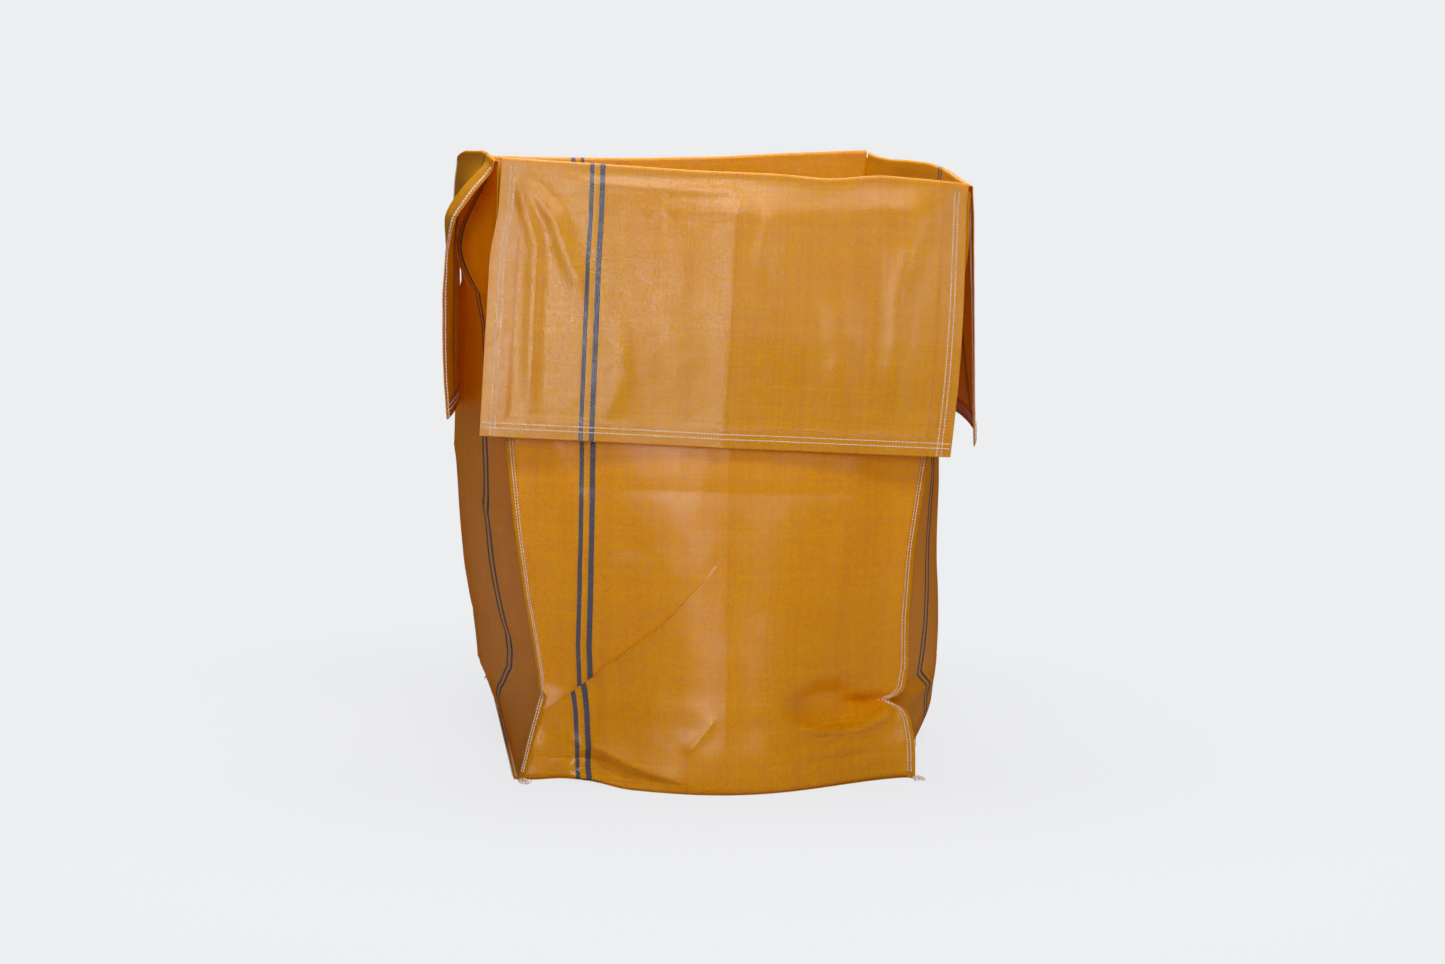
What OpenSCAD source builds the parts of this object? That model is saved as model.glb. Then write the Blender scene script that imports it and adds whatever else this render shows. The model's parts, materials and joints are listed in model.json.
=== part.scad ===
// Open-topped bulk bag of woven sheet: four sewn side panels on a base,
// with a fold-over flap on each side of the mouth hanging outside.
// Millimetres, +Z up, the front faces -Y. The origin is on the floor under the middle of the mouth.
// Sides are numbered 0 front, 1 right, 2 back, 3 left. Corner n is where side n begins.

/* [Bag] */
// Distance between opposite panels at the mouth
mouth = 680; // [500:10:900]
// Mean height of the folded rim above the floor
rim_height = 888; // [600:4:1200]
// Thickness of the coated cloth, drawn thick
cloth = 1; // [0.6:0.1:1.5]

/* [Flaps] */
// Width of the front and back flaps along the rim
flap_width = 690; // [510:10:910]
// Width of the side flaps, which close inside the mouth under the other two
side_flap_width = 668; // [480:2:890]
// Drop of a hanging flap below the rim
flap_drop = 386; // [250:2:430]
// Radius of the roll where a flap turns over the rim
fold_radius = 3.5; // [2.5:0.5:5]
// How much lower the side rims sit, so that the side flaps close under the others
side_rim_step = 3; // [2.5:0.5:6]
// Rise of the rim at the front left, front right, back right and back left corners
rim_rise = [11, -5, 17, -13]; // [-20:1:20]
// Outward ridge of the packing crease down the middle of the front and back flaps
crease_ridge = 6; // [0:1:12]

/* [Sewing] */
// Width of the turned hem along a flap's sides
side_hem = 38; // [24:1:50]
// Width of the turned hem along a flap's end
end_hem = 28; // [18:1:40]
// Width of the seam allowance that stands out at the corners
allowance = 14; // [10:1:20]
// Width of a line of sewing thread
thread_w = 1.2; // [0.8:0.1:2]
// Height of the thread above the cloth
thread_h = 0.7; // [0.4:0.1:1.2]

/* [Slack] */
// Share of the photographed bulge and corner pull, 0 for a straight box
slack = 1; // [0:0.05:1]

/* [Hidden] */

orange = "#d9861f";
deep_orange = "#c9720f";
thread_white = "#f4ece4";

// Small gap that keeps neighbouring layers from sharing volume
ease = 0.1;
// Gap between pieces that move apart
running_gap = 0.3;
// Distance of the hinge lines from the middle of the bag
axis_out = mouth / 2 + fold_radius;
// A panel ends this far below the hinge line, so that its flap has room to close over it
closing_room = 4.5;
panel_gap = fold_radius + cloth / 2 + closing_room;
// Half of each flap's width
flap_half = [for (side = [0:3]) (side % 2 == 0 ? flap_width : side_flap_width) / 2];
// Underside of the side panels' base allowance, which lies on the base panel
wall_foot = cloth + ease;

// Drawn-in corner seams: share of the height, pull along X, pull along Y
seam_pull = [
    [[0, 58, 4], [0.08, 72, 16], [0.15, 88, 28], [0.22, 77, 22], [0.3, 63, 16], [0.42, 47, 12],
     [0.55, 33, 8], [0.77, 15, 4], [1, 0, 0]],
    [[0, 42, 4], [0.09, 50, 14], [0.12, 62, 22], [0.15, 92, 34], [0.19, 74, 24], [0.27, 67, 18],
     [0.39, 58, 14], [0.53, 45, 9], [0.77, 18, 4], [1, 0, 0]],
    [[0, 40, 36], [0.13, 52, 46], [0.3, 48, 40], [0.55, 30, 24], [1, 0, 0]],
    [[0, 76, 34], [0.13, 70, 44], [0.3, 54, 38], [0.55, 30, 24], [1, 0, 0]]
];
// Outward bulge of each panel's middle: share of the height, bulge
panel_bulge = [
    [[0, 94], [0.08, 104], [0.16, 98], [0.3, 74], [0.55, 44], [0.8, 14], [1, 0]],
    [[0, 68], [0.06, 106], [0.12, 124], [0.18, 126], [0.3, 114], [0.47, 96], [0.68, 54], [0.85, 20],
     [1, 0]],
    [[0, 60], [0.12, 80], [0.3, 70], [0.55, 44], [0.8, 14], [1, 0]],
    [[0, 0], [0.05, 22], [0.12, 48], [0.2, 62], [0.28, 62], [0.4, 54], [0.53, 46], [0.75, 26], [1, 0]]
];
// A fuller power draws the bulge away from the seams, 1 is a plain arch
bulge_power = 1.5;
// How far each flap stands off as it hangs: share of the drop, distance
flap_lift = [
    [[0, 0], [0.1, 4], [0.3, 14], [0.6, 28], [1, 40]],
    [[0, 0], [0.1, 6], [0.3, 22], [0.6, 48], [1, 80]],
    [[0, 0], [0.1, 5], [0.3, 16], [0.6, 30], [1, 40]],
    [[0, 0], [0.09, 16], [0.22, 38], [0.35, 51], [0.5, 57], [0.68, 56], [0.83, 54], [1, 48]]
];
// Share of that distance lost at both side edges, and across the flap towards its left edge
flap_edge_tuck = [0, 0.7, 0, 0];
flap_twist = [0, 0, 0, 0.95];
// Drop lost where the cloth hangs in a curve
flap_rise = [0, 8, 0, 22];
// How much further the right edge hangs than the middle, and how far the free end swings sideways
flap_skew = [2, 0, 0, 0];
flap_swing = [-7, 0, 0, 0];
// Whether a flap keeps the packing crease, and the share of the drop where it is full
flap_crease = [1, 0, 1, 0];
crease_start = 0.15;

// Rows up a panel, closer together near the floor
panel_rows = 18;
panel_cols = 14;
level_power = 1.5;
levels = [for (i = [0:panel_rows]) pow(i / panel_rows, level_power)];
flap_rows = 10;
flap_cols = 3;
// Distance of the two stitch rows from a hem's edge, and from the corner seam
side_stitch = [14, 20];
end_stitch = [12, 20];
seam_stitch = [3, 8];
// The allowances run out to this width where they meet the rim
allowance_at_rim = 2;
// Share of the height below the rim over which they run out
allowance_taper = 0.08;
// Share of the height between which the corner stitching runs
seam_stitch_span = [0.012, 0.92];

// Points of one loose thread tail from a bottom corner: outward, sideways, up
tail_route = [[0, 0, 3], [7, 2, 5], [14, 6, 4], [19, 3, 2], [24, -4, 2], [31, -7, 2]];
tail_radius = 1.2;
tail_sides = 6;

// Helper functions

function unit(v) = v / norm(v);

// A table read with its corners rounded off, exact at both ends
function eased(table, x, width = 0.03) =
    let (w = min(width, x, 1 - x))
    (lookup(x - w, table) + 2 * lookup(x, table) + lookup(x + w, table)) / 4;

function column(table, n) = [for (row = table) [row[0], row[n]]];

// Outward and along directions of a side
function outward(side) = [sin(90 * side), -cos(90 * side), 0];
function along(side) = [cos(90 * side), sin(90 * side), 0];

// Diagonal direction that a corner's seam allowances point to
function diagonal(corner) = unit(outward(corner) + outward((corner + 3) % 4));

// Slope of a side's rim, and the height of its hinge line in the middle of the rim's roll
function rim_slope(side) = (rim_rise[(side + 1) % 4] - rim_rise[side]) / mouth;
function axis_z(side, x) =
    rim_height - fold_radius - cloth / 2 - (side % 2) * side_rim_step
    + rim_rise[side] + rim_slope(side) * (x + mouth / 2);

// Height of a panel's foot, and of a point at a share of the way across and up
foot_z = wall_foot + cloth / 2;
function panel_z(side, across, level) =
    foot_z + level * (axis_z(side, (across - 0.5) * mouth) - panel_gap - foot_z);

// Corner seam at a height, the same for both of its panels
function seam_point(corner, z) =
    let (d = diagonal(corner))
    let (share = min(1, (z - foot_z) / (rim_height - foot_z)))
    let (pull_x = slack * eased(column(seam_pull[corner], 1), share))
    let (pull_y = slack * eased(column(seam_pull[corner], 2), share))
    [sign(d.x) * (mouth / 2 - pull_x), sign(d.y) * (mouth / 2 - pull_y), 0];

// Direction across the seam at a corner, from the seam into the given panel
function seam_side(corner, side) =
    let (d = diagonal(corner))
    let (t = (corner == side ? 1 : -1) * along(side))
    unit(t - (t * d) * d);

function allowance_at(level) =
    lookup(level, [[1 - allowance_taper, allowance], [1, allowance_at_rim]]);

// Point of a panel, across from one seam to the other
function panel_point(side, across, level) =
    let (next = (side + 1) % 4)
    let (half_gap = cloth / 2 + ease)
    let (first = seam_point(side, panel_z(side, 0, level)) + half_gap * seam_side(side, side))
    let (last = seam_point(next, panel_z(side, 1, level)) + half_gap * seam_side(next, side))
    let (bulge = slack * eased(panel_bulge[side], level) * pow(sin(180 * across), bulge_power))
    first + across * (last - first) + bulge * outward(side) + [0, 0, panel_z(side, across, level)];

// One row of a panel with the allowance at each end
function panel_row(side, level) =
    let (next = (side + 1) % 4)
    let (a = panel_point(side, 0, level))
    let (b = panel_point(side, 1, level))
    concat(
        [a + allowance_at(level) * diagonal(side)],
        [for (i = [0:panel_cols]) panel_point(side, i / panel_cols, level)],
        [b + allowance_at(level) * diagonal(next)]
    );

function shifted(row, offset) = [for (p = row) p + offset];

// Point of a hanging flap, at a distance along the rim and a share of its drop, square to the rim
function flap_point(side, x, share) =
    let (edge = x / flap_half[side])
    let (kept = 1 - flap_edge_tuck[side] * edge * edge - flap_twist[side] * (1 - edge) / 2)
    let (ridge = flap_crease[side] * crease_ridge * (1 - abs(edge)) * min(1, share / crease_start))
    let (out = axis_out + fold_radius + kept * eased(flap_lift[side], share) + ridge)
    let (drop = flap_drop - flap_rise[side] + flap_skew[side] * edge)
    let (swing = flap_swing[side] + rim_slope(side) * flap_drop)
    (x + share * swing) * along(side) + out * outward(side)
    + [0, 0, axis_z(side, x) - running_gap - share * (drop - running_gap)];

function flap_grid(side, xs, shares) = [for (s = shares) [for (x = xs) flap_point(side, x, s)]];

// Shares of the drop that a flap's rows sit at, from its free end up to the rim
hem_share = 1 - end_hem / flap_drop;
flap_shares = concat([1], [for (i = [0:flap_rows]) hem_share * (1 - i / flap_rows)]);
// Distances along the rim of a flap's columns, without and with the side hems
function inner_xs(side) =
    let (inner = flap_half[side] - side_hem)
    [for (i = [-flap_cols:flap_cols]) inner * i / flap_cols];
function flap_xs(side) = concat([-flap_half[side]], inner_xs(side), [flap_half[side]]);

// Normal of a grid at one of its points, outward for rows that run to the right and upward
function grid_normal(grid, i, j) =
    let (last_i = len(grid) - 1, last_j = len(grid[0]) - 1)
    let (du = grid[i][min(j + 1, last_j)] - grid[i][max(j - 1, 0)])
    let (dv = grid[min(i + 1, last_i)][j] - grid[max(i - 1, 0)][j])
    unit(cross(du, dv));

// Closed sheet that lies between two distances from a grid of points, measured along its normals.
// The diagonals that split its cells are mirrored from the turn column on.
module sheet(grid, low = -cloth / 2, high = cloth / 2, turn = 1) {
    rows = len(grid);
    cols = len(grid[0]);
    count = rows * cols;
    layers = [for (h = [low, high]) [
        for (i = [0:rows - 1]) for (j = [0:cols - 1]) grid[i][j] + h * grid_normal(grid, i, j)
    ]];
    function at(layer, i, j) = layer * count + i * cols + j;
    function split(a, b, c, d) = [[a, b, c], [a, c, d]];
    function cell(k, i, j) = [at(k, i, j), at(k, i, j + 1), at(k, i + 1, j + 1), at(k, i + 1, j)];
    function halves(q, j) = j < turn ? split(q[0], q[1], q[2], q[3]) : split(q[1], q[2], q[3], q[0]);
    skins = [for (i = [0:rows - 2]) for (j = [0:cols - 2]) each concat(
        halves(cell(0, i, j), j),
        [for (t = halves(cell(1, i, j), j)) [t[2], t[1], t[0]]]
    )];
    ends = [for (j = [0:cols - 2]) each concat(
        split(at(0, 0, j), at(1, 0, j), at(1, 0, j + 1), at(0, 0, j + 1)),
        split(at(0, rows - 1, j + 1), at(1, rows - 1, j + 1), at(1, rows - 1, j), at(0, rows - 1, j))
    )];
    sides = [for (i = [0:rows - 2]) each concat(
        split(at(0, i + 1, 0), at(1, i + 1, 0), at(1, i, 0), at(0, i, 0)),
        split(at(0, i, cols - 1), at(1, i, cols - 1), at(1, i + 1, cols - 1), at(0, i + 1, cols - 1))
    )];
    polyhedron(concat(layers[0], layers[1]), concat(skins, ends, sides));
}

// Round thread swept along a route that runs outward over the floor
module thread(route, radius, sides) {
    count = len(route);
    rings = [for (i = [0:count - 1])
        let (ahead = unit(route[min(i + 1, count - 1)] - route[max(i - 1, 0)]))
        let (across = unit(cross(ahead, [0, 0, 1])))
        let (up = cross(across, ahead))
        each [for (k = [0:sides - 1])
            route[i] + radius * (cos(360 * k / sides) * across + sin(360 * k / sides) * up)]
    ];
    walls = [for (i = [0:count - 2]) for (k = [0:sides - 1])
        let (n = (k + 1) % sides)
        each [
            [i * sides + k, i * sides + n, (i + 1) * sides + n],
            [i * sides + k, (i + 1) * sides + n, (i + 1) * sides + k]
        ]];
    start = [for (k = [1:sides - 2]) [0, k + 1, k]];
    last = (count - 1) * sides;
    finish = [for (k = [1:sides - 2]) [last, last + k, last + k + 1]];
    polyhedron(rings, concat(walls, start, finish));
}

// Cloth of the body

// The side panels turn outward along the floor, where they are sewn to the base
module panel(side) {
    rows = [for (level = levels) panel_row(side, level)];
    foot = shifted(rows[0], allowance * outward(side));
    color(side % 2 == 0 ? orange : deep_orange)
        sheet(side % 2 == 0 ? rows : concat([foot], rows));
}

module base_panel() {
    reach = [cloth / 2, allowance, cloth / 2, allowance];
    edge = [for (side = [0:3]) for (i = [0:panel_cols])
        panel_point(side, i / panel_cols, 0) + reach[side] * outward(side)];
    color(orange)
        linear_extrude(cloth)
            polygon([for (p = edge) [p.x, p.y]]);
}

// Cloth that rolls over the rim from the panel's top edge to the flap
module rim_fold(side) {
    span = mouth - 2 * cloth - 2 * fold_radius * (side % 2);
    tilt = atan2(axis_z(side, span / 2) - axis_z(side, -span / 2), span);
    color(orange)
        rotate([0, 0, 90 * side])
            translate([-span / 2, -axis_out, axis_z(side, -span / 2)])
                rotate([0, -tilt, 0])
                    rotate([90, 0, 90])
                        linear_extrude(span)
                            union() {
                                intersection() {
                                    difference() {
                                        circle(fold_radius + cloth / 2, $fn = 48);
                                        circle(fold_radius - cloth / 2, $fn = 48);
                                    }
                                    translate([-2 * fold_radius, 0])
                                        square([4 * fold_radius, 2 * fold_radius]);
                                }
                                translate([fold_radius - cloth / 2, ease - panel_gap])
                                    square([cloth, panel_gap - ease]);
                            }
}

// Flaps

module flap(side) {
    xs = flap_xs(side);
    color(side % 2 == 0 ? orange : deep_orange)
        sheet(flap_grid(side, xs, flap_shares), turn = flap_twist[side] > 0 ? len(xs) : flap_cols + 1);
}

// Second layer of cloth turned under an edge, on the face towards the bag
module hem(grid, turn = 1) {
    sheet(grid, -1.5 * cloth - ease, -cloth / 2 - ease, turn);
}

module side_hems(side) {
    outer = flap_half[side];
    color(deep_orange) {
        hem(flap_grid(side, [-outer, side_hem - outer], flap_shares));
        hem(flap_grid(side, [outer - side_hem, outer], flap_shares), flap_twist[side] > 0 ? 1 : 0);
    }
}

module end_hem(side) {
    narrowing = 1 - running_gap / flap_half[side];
    color(deep_orange)
        hem(flap_grid(side, narrowing * inner_xs(side), [1, hem_share]), flap_cols);
}

// A row of thread on the face away from the bag
module stitch_row(grid) {
    sheet(grid, cloth / 2 + ease, cloth / 2 + ease + thread_h);
}

module flap_stitching(side) {
    half_row = thread_w / 2;
    color(thread_white) {
        for (inset = side_stitch, end = [-1, 1]) {
            x = end * (flap_half[side] - inset);
            stitch_row(flap_grid(side, [x - half_row, x + half_row], flap_shares));
        }
        for (inset = end_stitch) {
            shares = [for (d = [inset - half_row, inset + half_row]) 1 - d / flap_drop];
            stitch_row(flap_grid(side, flap_xs(side), shares));
        }
    }
}

// Sewing of the body

// Two rows on both faces of a corner's standing allowances
module seam_stitching(corner) {
    span = [for (level = levels) if (level > seam_stitch_span[0] && level < seam_stitch_span[1]) level];
    color(thread_white)
        for (side = [corner, (corner + 3) % 4], inset = seam_stitch) {
            lift = cloth / 2 + ease + thread_h / 2;
            face = seam_side(corner, side);
            line = [for (level = span)
                panel_point(side, side == corner ? 0 : 1, level)
                + inset * diagonal(corner) + lift * face];
            grid = [for (p = line) [
                p - thread_w / 2 * diagonal(corner),
                p + thread_w / 2 * diagonal(corner)
            ]];
            sheet(grid, -thread_h / 2, thread_h / 2);
        }
}

// Two rows along the allowance that lies on the floor at a side panel's foot
module base_stitching(side) {
    color(thread_white)
        for (inset = seam_stitch) {
            line = [for (i = [0:panel_cols]) panel_point(side, i / panel_cols, 0)];
            grid = [for (w = [thread_w, 0]) [
                for (p = line) p + (inset + w) * outward(side) + [0, 0, cloth / 2 + ease + thread_h / 2]
            ]];
            sheet(grid, -thread_h / 2, thread_h / 2);
        }
}

module thread_tails() {
    color(thread_white)
        for (corner = [0:3]) {
            d = diagonal(corner);
            across = cross(d, [0, 0, 1]);
            start = seam_point(corner, foot_z) + (allowance + 2 * tail_radius) * d;
            route = [for (p = tail_route) start + p.x * d + p.y * across + [0, 0, p.z]];
            thread(route, tail_radius, tail_sides);
        }
}

base_panel();
panel(0);  // front_panel
panel(1);  // right_panel
panel(2);  // back_panel
panel(3);  // left_panel
rim_fold(0);  // front_rim_fold
rim_fold(1);  // right_rim_fold
rim_fold(2);  // back_rim_fold
rim_fold(3);  // left_rim_fold
flap(0);  // front_flap
flap(1);  // right_flap
flap(2);  // back_flap
flap(3);  // left_flap
side_hems(0);  // front_flap_side_hems
side_hems(1);  // right_flap_side_hems
side_hems(2);  // back_flap_side_hems
side_hems(3);  // left_flap_side_hems
end_hem(0);  // front_flap_end_hem
end_hem(1);  // right_flap_end_hem
end_hem(2);  // back_flap_end_hem
end_hem(3);  // left_flap_end_hem
flap_stitching(0);  // front_flap_stitching
flap_stitching(1);  // right_flap_stitching
flap_stitching(2);  // back_flap_stitching
flap_stitching(3);  // left_flap_stitching
seam_stitching(0);  // front_left_seam_stitching
seam_stitching(1);  // front_right_seam_stitching
seam_stitching(2);  // back_right_seam_stitching
seam_stitching(3);  // back_left_seam_stitching
base_stitching(3);  // left_base_stitching
base_stitching(1);  // right_base_stitching
thread_tails();
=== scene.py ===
"""Looks of an open bulk bag of coated woven sheet, in metres: cloth, sewing, floor, light and camera."""

import json
import math

import bpy
import numpy as np
from mathutils import Matrix, Vector


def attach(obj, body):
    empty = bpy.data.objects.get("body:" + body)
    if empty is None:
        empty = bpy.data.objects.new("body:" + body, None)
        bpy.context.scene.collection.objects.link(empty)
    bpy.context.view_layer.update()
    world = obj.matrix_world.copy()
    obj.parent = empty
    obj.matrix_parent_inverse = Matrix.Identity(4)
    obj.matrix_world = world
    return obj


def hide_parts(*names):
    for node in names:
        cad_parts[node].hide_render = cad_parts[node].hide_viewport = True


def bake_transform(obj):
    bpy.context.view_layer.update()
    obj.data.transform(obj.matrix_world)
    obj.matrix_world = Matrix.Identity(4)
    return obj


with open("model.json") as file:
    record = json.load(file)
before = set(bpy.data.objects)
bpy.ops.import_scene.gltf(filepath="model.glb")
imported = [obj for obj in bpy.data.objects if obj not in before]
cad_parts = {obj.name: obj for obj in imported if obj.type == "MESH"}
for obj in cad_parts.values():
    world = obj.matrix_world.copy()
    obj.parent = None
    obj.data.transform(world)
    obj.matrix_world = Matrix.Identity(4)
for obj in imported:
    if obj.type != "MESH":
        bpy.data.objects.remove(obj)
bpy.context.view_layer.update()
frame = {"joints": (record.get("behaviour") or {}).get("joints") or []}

# Sides run 0 front, 1 right, 2 back, 3 left, and corner n is where side n begins
SIDES = ("front", "right", "back", "left")
CORNERS = ("front_left", "front_right", "back_right", "back_left")
MM = 0.001
UP = np.array([0.0, 0.0, 1.0])

# Driving sizes
CLOTH = 0.8 * MM
FOLD_RADIUS = 3.5 * MM
PANEL_GAP = 8.5 * MM
RIM_HEIGHT = 0.888
FLAP_HALF = (0.345, 0.334, 0.345, 0.334)
FLAP_DROP = 0.386
SIDE_HEM = 38 * MM
END_HEM = 28 * MM
HEM_STEP = 0.9 * MM
HEM_DROP = CLOTH + 0.15 * MM
HEM_HALF_CLOTH = CLOTH / 2 * 0.9
UNDER_HEM = 1.6 * CLOTH
ALLOWANCE = 14 * MM
ALLOWANCE_AT_RIM = 5 * MM
SIDE_STITCH = (14 * MM, 20.5 * MM)
END_STITCH = (12 * MM, 19 * MM)
SEAM_STITCH = (3 * MM, 8 * MM)
STITCH_PITCH = 4.6 * MM
STITCH_RADIUS = 0.78 * MM

# Drawn-in corner seams: share of the height, pull along X and along Y in millimetres
SEAM_PULL = (
    ((0, 54, 4), (0.08, 70, 16), (0.16, 89, 28), (0.23, 77, 22), (0.3, 64, 16), (0.42, 47, 12),
     (0.55, 33, 8), (0.77, 15, 4), (1, 0, 0)),
    ((0, 48, 4), (0.043, 49, 8), (0.069, 51, 11), (0.099, 56, 16), (0.113, 61, 20), (0.121, 69, 25),
     (0.128, 92, 38), (0.136, 76, 28), (0.15, 66, 23), (0.19, 62, 20), (0.27, 65, 18), (0.39, 62, 14),
     (0.53, 50, 9), (0.77, 20, 4), (1, 0, 0)),
    ((0, 40, 36), (0.13, 52, 46), (0.3, 48, 40), (0.55, 30, 24), (1, 0, 0)),
    ((0, 76, 34), (0.13, 70, 44), (0.3, 54, 38), (0.55, 30, 24), (1, 0, 0)),
)
# Share of the height over which a seam's bends are rounded: at each seam, and for the cloth between two seams
SEAM_EASE = (0.015, 0.007, 0.035, 0.035)
SEAM_EASE_BROAD = 0.14
# Share of a panel's width that a seam's sharp bends reach into
KINK_REACH = 0.2
# Outward bulge of each panel's middle: share of the height, millimetres
PANEL_BULGE = (
    ((0, 97), (0.03, 101), (0.08, 103), (0.13, 101), (0.2, 93), (0.3, 76), (0.42, 60), (0.55, 44),
     (0.8, 14), (1, 0)),
    ((0, 68), (0.06, 106), (0.12, 124), (0.18, 126), (0.3, 116), (0.47, 99), (0.68, 56), (0.85, 20), (1, 0)),
    ((0, 60), (0.12, 80), (0.3, 70), (0.55, 44), (0.8, 14), (1, 0)),
    ((0, 0), (0.05, 22), (0.12, 50), (0.2, 65), (0.28, 67), (0.4, 64), (0.53, 60), (0.64, 51),
     (0.75, 40), (0.9, 18), (1, 0)),
)
BULGE_POWER = 1.5
# How far each flap stands off as it hangs: share of the drop, millimetres
FLAP_LIFT = (
    ((0, 0), (0.1, 4), (0.3, 14), (0.6, 28), (1, 40)),
    ((0, 0), (0.1, 6), (0.3, 22), (0.6, 48), (1, 80)),
    ((0, 0), (0.1, 5), (0.3, 16), (0.6, 30), (1, 40)),
    ((0, 0), (0.04, 3), (0.1, 20), (0.22, 49), (0.35, 61), (0.5, 65), (0.68, 64), (0.83, 61), (1, 55)),
)
# Shares of that lift lost towards both edges, and towards the edge on the left seen from outside
FLAP_EDGE_TUCK = (0, 0.7, 0, 0)
FLAP_TWIST = (0, 0, 0, 0.95)
# Free end of each flap: how much shorter it hangs, its slope and its shift along the side
FLAP_RISE = (0, 8 * MM, 0, 22 * MM)
FLAP_SKEW = (2 * MM, 0, 0, 0)
FLAP_SWING = (-7 * MM, 0, 0, 0)
# Shift of each flap's stripe at its free end, and height of the packing crease down its middle
STRIPE_DRIFT = (8 * MM, 0, 0, 0)
CREASE_RIDGE = (13 * MM, 0, 7 * MM, 0)
# Wave of each rim above or below its hinge line: distance along the rim, rise, in millimetres
RIM_WAVE = (
    ((-345, 0), (-215, -1), (-55, -3), (55, -1), (136, -4.5), (203, 5.5), (280, 3), (316, 2), (345, -2)),
    ((-340, 0), (-265, 6), (-200, 12), (-140, 14), (-81, 14), (50, 8), (180, 0), (298, -3), (340, 0)),
    ((-340, 0), (-185, -4), (-90, -8), (51, -9), (207, -6), (340, 0)),
    ((-340, 1), (-300, 5), (-200, 10), (130, 11), (165, 9), (200, 7), (235, 4.5), (270, 2), (300, 0),
     (340, -2)),
)
RIM_EASE = 40
# Middle of the double stripe on each side's cloth: height, distance along the side, in metres
STRIPE_PATH = (
    ((0, -0.186), (0.1, -0.19), (0.2, -0.198), (0.5, -0.2035), (0.9, -0.2035)),
    ((0, -0.164), (0.9, -0.164)),
    ((0, 0.15), (0.9, 0.15)),
    ((0, 0.1), (0.07, 0.105), (0.103, 0.153), (0.135, 0.187), (0.16, 0.19), (0.185, 0.181), (0.23, 0.178),
     (0.306, 0.173), (0.36, 0.178), (0.45, 0.19), (0.637, 0.201), (0.7, 0.205), (0.76, 0.19), (0.9, 0.19)),
)


def outward(side):
    """Direction that a side faces."""
    return np.array([math.sin(math.pi / 2 * side), -math.cos(math.pi / 2 * side), 0])


def along(side):
    """Direction along a side, to the right seen from outside."""
    return np.array([math.cos(math.pi / 2 * side), math.sin(math.pi / 2 * side), 0])


def from_side(side, place, out, z):
    """Points at distances along a side, outwards and up."""
    return place[..., None] * along(side) + out[..., None] * outward(side) + z[..., None] * UP


def unit(v):
    """Vectors of length 1."""
    return v / np.linalg.norm(v, axis=-1, keepdims=True)


def diagonal(corner):
    """Direction that a corner's seam allowances point to."""
    return unit(outward(corner) + outward((corner + 3) % 4))


HINGE = [next(j for j in frame["joints"] if j["name"] == f"{side}_flap_hinge") for side in SIDES]
HINGE_POS = [np.array(j["pos_m"]) for j in HINGE]
AXIS_OUT = HINGE_POS[0] @ outward(0)
MOUTH_HALF = AXIS_OUT - FOLD_RADIUS
RIM_SLOPE = [j["axis"][2] / (np.array(j["axis"]) @ along(side)) for side, j in enumerate(HINGE)]


def axis_z(side, x):
    """Height of a side's hinge line."""
    return HINGE_POS[side][2] + RIM_SLOPE[side] * x


def smooth(x):
    """Smooth step from 0 to 1."""
    x = np.clip(x, 0, 1)
    return x * x * (3 - 2 * x)


def eased(table, x, column=1, width=0.035):
    """A table read with its corners rounded off, exact at both ends."""
    xs = [row[0] for row in table]
    ys = [row[column] for row in table]
    room = np.minimum(width, np.minimum(x - xs[0], xs[-1] - x))
    steps = np.linspace(-1, 1, 25)
    weights = 1 + np.cos(math.pi * steps)
    total = sum(weight * np.interp(x + step * room, xs, ys) for step, weight in zip(steps, weights))
    return total / weights.sum()


def rim_wave(side, x):
    """Height of a rim above its hinge line."""
    table = RIM_WAVE[side]
    return eased(table, np.clip(x / MM, table[0][0], table[-1][0]), width=RIM_EASE) * MM


def ripples(x, y, seed, wavelength, count=7):
    """Soft random waves of about unit height, the same at every run."""
    rng = np.random.default_rng(seed)
    total = 0
    for _ in range(count):
        angle, phase = rng.uniform(0, 2 * math.pi, 2)
        k = 2 * math.pi / (wavelength * rng.uniform(0.7, 1.6))
        total = total + np.sin(k * (x * math.cos(angle) + y * math.sin(angle)) + phase)
    return total / math.sqrt(count)


def near_line(x, y, points):
    """Signed distance to a polyline, positive on its left, and the share of the way along it."""
    points = np.array(points, float)
    lengths = np.linalg.norm(np.diff(points, axis=0), axis=1)
    best = np.full(np.shape(x), np.inf)
    signed = np.zeros(np.shape(x))
    share = np.zeros(np.shape(x))
    done = 0
    for a, b, length in zip(points[:-1], points[1:], lengths):
        d = (b - a) / length
        t = np.clip((x - a[0]) * d[0] + (y - a[1]) * d[1], 0, length)
        dx = x - a[0] - t * d[0]
        dy = y - a[1] - t * d[1]
        distance = np.hypot(dx, dy)
        closer = distance < best
        best = np.where(closer, distance, best)
        signed = np.where(closer, np.where(d[0] * dy - d[1] * dx > 0, distance, -distance), signed)
        share = np.where(closer, (done + t) / lengths.sum(), share)
        done += length
    return signed, share


def crease(x, y, points, height, width, fade):
    """Sharp ridge along a line, or a valley for a negative height, fading towards its ends."""
    distance, share = near_line(x, y, points)
    return height * np.exp(-np.abs(distance) / width) * smooth(np.minimum(share, 1 - share) / fade)


def creases(x, y, rows):
    """Sum of creases given as a line, rise and width in millimetres, and fade."""
    return sum(crease(x, y, line, rise * MM, width * MM, fade) for line, rise, width, fade in rows)


def swell(x, y, points, height, width, start=0.25, end=0.25):
    """Soft round ridge along a line, fading over the given shares of its length at its start and end."""
    distance, share = near_line(x, y, points)
    return height * np.exp(-((distance / width) ** 2)) * smooth(share / start) * smooth((1 - share) / end)


# Folds of the body

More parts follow.
